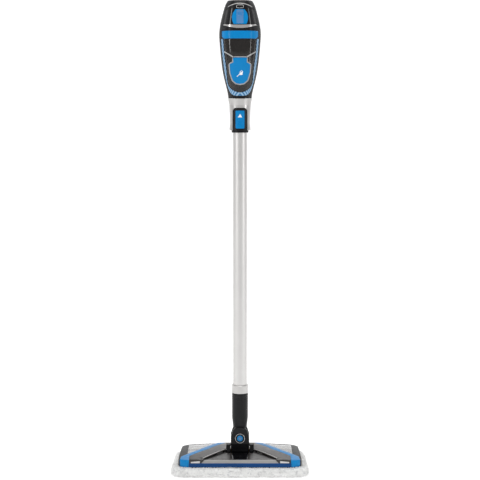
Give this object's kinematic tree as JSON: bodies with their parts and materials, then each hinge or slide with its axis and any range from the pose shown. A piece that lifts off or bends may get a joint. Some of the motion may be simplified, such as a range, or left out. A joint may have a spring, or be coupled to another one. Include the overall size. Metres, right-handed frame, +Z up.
{
  "type": "steam mop",
  "caption": "Upright steam mop: hinged, swivelling mop head with microfibre pad, straight wand and lift-off handheld steamer with loop handle.",
  "frame": {"origin": "on the floor, under the head's pitch axle, at the middle of the pad's underside", "axes": "+Z up along the upright wand, +X to the right seen from the front, the front faces -Y"},
  "size_m": [0.3468, 0.1929, 1.181],
  "materials": {
    "pad_fabric": "shaggy microfibre",
    "black_plastic": "fine satin grain",
    "black_gloss": "piano gloss",
    "grey_plastic": "satin",
    "light_grey": "satin",
    "vivid_blue": "gloss",
    "steel_blue": "satin gloss",
    "navy": "ribbed",
    "silver_paint": "metallic silver paint",
    "tube_metal": "satin anodised",
    "steel": "plain",
    "brass": "plain",
    "smoke": "smoked clear plastic",
    "clear": "clear plastic",
    "rubber": "matte",
    "silicone": "translucent silicone",
    "board": "circuit board",
    "hook": "hook strip"
  },
  "bodies": {
    "head": {"mop_pad": "pad_fabric", "hook_strips": "hook", "head_base": "black_plastic", "steam_manifold": "light_grey", "center_panel": "black_gloss", "front_panels": "grey_plastic", "top_cover": "grey_plastic", "trim_stripes": "vivid_blue", "windows": "smoke", "end_cap_left": "black_plastic", "end_cap_right": "black_plastic", "front_lip": "navy", "front_strip": "silver_paint", "steam_trays": "light_grey", "trunnion_blocks": "black_plastic", "hinge_screws": "steel", "pitch_axle": "steel"},
    "yoke": {"yoke": "black_plastic", "swivel_pin": "steel", "pivot_caps": "vivid_blue", "axle_bushes": "brass"},
    "wand": {"neck_housing": "black_plastic", "neck_core": "grey_plastic", "lower_collar": "silver_paint", "steam_coupling": "silicone", "wand_tube": "tube_metal", "steam_pipe": "silicone", "pipe_spacers": "black_plastic", "socket_seal": "rubber", "wand_lock_spring": "steel", "socket_sleeve": "black_plastic", "upper_collar": "silver_paint", "button_bezel": "black_plastic", "release_spring": "steel", "latch_clip": "steel"},
    "wand_lock": {"wand_lock_button": "black_plastic"},
    "release_latch": {"release_button": "vivid_blue"},
    "handheld": {"crown": "black_plastic", "front_housing": "black_plastic", "rear_housing": "black_plastic", "control_fascia": "black_gloss", "accent_band": "vivid_blue", "side_trim": "steel_blue", "tank_window": "smoke", "cap_bezel": "clear", "water_tank": "clear", "handle_left": "black_plastic", "handle_right": "black_plastic", "handle_grip": "rubber", "trigger_spring": "steel", "boiler": "steel", "pump": "light_grey", "water_hoses": "silicone", "control_board": "board", "steam_nozzle": "brass", "cord_gland": "rubber"},
    "power_key": {"power_button": "vivid_blue"},
    "fill_cap": {"tank_cap": "vivid_blue", "cap_seal": "silicone"},
    "steam_trigger": {"trigger": "grey_plastic"}
  },
  "joints": [
    {"name": "head_pitch", "type": "hinge", "parent": "head", "child": "yoke", "pos_m": [0, 0, 0.05], "axis": [-1, 0, 0], "range_deg": [0, 72]},
    {"name": "neck_swivel", "type": "hinge", "parent": "yoke", "child": "wand", "pos_m": [0, 0, 0.081], "axis": [0, 1, 0], "range_deg": [-50, 50]},
    {"name": "handheld_lift", "type": "slide", "parent": "wand", "child": "handheld", "axis": [0, 0, 1], "range_m": [0, 0.1], "deforming": ["latch_clip"]},
    {"name": "release_press", "type": "slide", "parent": "wand", "child": "release_latch", "axis": [0, 1, 0], "range_m": [0, 0.0025], "stiffness_N_per_m": 400, "springref_m": -0.002, "deforming": ["release_spring"]},
    {"name": "wand_lock_press", "type": "slide", "parent": "wand", "child": "wand_lock", "axis": [0, -1, 0], "range_m": [0, 0.003], "stiffness_N_per_m": 500, "springref_m": -0.002, "deforming": ["wand_lock_spring"]},
    {"name": "power_press", "type": "slide", "parent": "handheld", "child": "power_key", "axis": [0, 1, 0], "range_m": [0, 0.002], "stiffness_N_per_m": 500, "springref_m": -0.002},
    {"name": "cap_open", "type": "hinge", "parent": "handheld", "child": "fill_cap", "pos_m": [0, -0.0417, 1.039], "axis": [-1, 0, 0], "range_deg": [0, 95]},
    {"name": "trigger_pull", "type": "hinge", "parent": "handheld", "child": "steam_trigger", "pos_m": [0, 0.0775, 1.13], "axis": [1, 0, 0], "range_deg": [0, 10], "stiffness_Nm_per_rad": 0.4, "springref_deg": -8.59, "deforming": ["trigger_spring"]}
  ]
}
